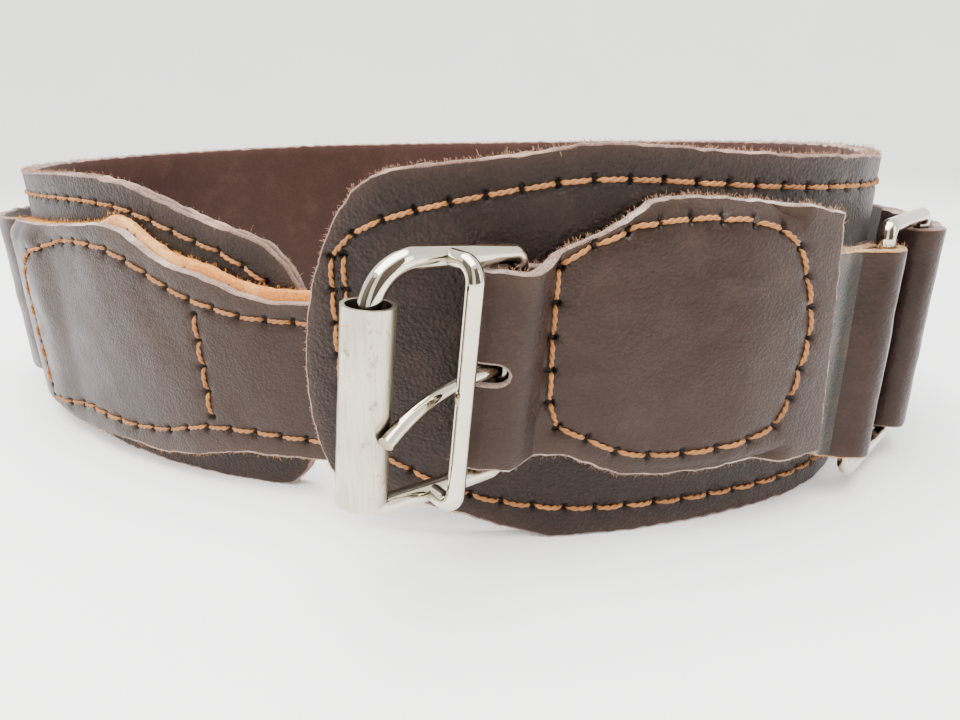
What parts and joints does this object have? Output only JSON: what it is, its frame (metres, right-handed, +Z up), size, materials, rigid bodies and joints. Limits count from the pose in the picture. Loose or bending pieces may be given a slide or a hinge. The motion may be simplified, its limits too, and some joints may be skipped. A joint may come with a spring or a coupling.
{
  "type": "tool belt",
  "caption": "Wide stitched leather tool belt standing as an open loop, with a roller buckle, a punched billet, an outer tool strap and a side ring.",
  "frame": {"origin": "middle of the belt's outline on the surface that it stands on", "axes": "+Z up, -Y towards the buckle and the viewer, +X towards the side ring"},
  "size_m": [0.3737, 0.341, 0.1044],
  "materials": {
    "outer_leather": "dark brown grained leather, satin",
    "lining_leather": "reddish brown smooth leather",
    "strap_leather": "dark brown leather, satin",
    "patch_leather": "dark brown leather, slightly polished",
    "raw_leather": "raw undyed split leather",
    "thread": "waxed twisted thread",
    "buckle_steel": "bright nickel plate",
    "roller_steel": "dull nickel plate, drawn lengthwise",
    "ring_steel": "bright nickel plate"
  },
  "bodies": {
    "rear": {"belt_outer_rear": "outer_leather", "belt_lining_rear": "lining_leather", "tool_strap_rear": "strap_leather", "billet_patch": "patch_leather", "billet_lining": "raw_leather", "belt_thread_rear": "thread", "billet_thread": "thread", "strap_thread_rear": "thread"},
    "wing": {"belt_outer_wing": "outer_leather", "belt_lining_wing": "lining_leather", "tool_strap_wing": "strap_leather", "ring_loop": "strap_leather", "buckle_patch": "patch_leather", "belt_thread_wing": "thread", "patch_thread": "thread", "strap_thread_wing": "thread"},
    "ring": {"side_ring": "ring_steel"},
    "buckle": {"buckle_frame": "buckle_steel", "buckle_keeper": "buckle_steel"},
    "roller": {"buckle_roller": "roller_steel"},
    "tongue": {"buckle_tongue": "buckle_steel"}
  },
  "joints": [
    {"name": "belt_flex", "type": "hinge", "parent": "rear", "child": "wing", "pos_m": [0.14432, 0.09875, 0.05], "axis": [0, 0, 1], "range_deg": [0, 45], "stiffness_Nm_per_rad": 0.3},
    {"name": "ring_rock", "type": "hinge", "parent": "wing", "child": "ring", "pos_m": [0.13775, -0.10981, 0.044], "axis": [0, 0, 1], "range_deg": [-2, 2]},
    {"name": "buckle_tilt", "type": "hinge", "parent": "wing", "child": "buckle", "pos_m": [0.03286, -0.13812, 0.053], "axis": [0.1097, -0.0014, 0.994], "range_deg": [-30, 15]},
    {"name": "roller_spin", "type": "hinge", "parent": "buckle", "child": "roller", "pos_m": [0.00252, -0.16397, 0.05631], "axis": [0.1097, -0.0014, 0.994], "continuous": true},
    {"name": "tongue_swing", "type": "hinge", "parent": "buckle", "child": "tongue", "pos_m": [0.03286, -0.13812, 0.053], "axis": [0.1097, -0.0014, 0.994], "range_deg": [0, 6]}
  ]
}
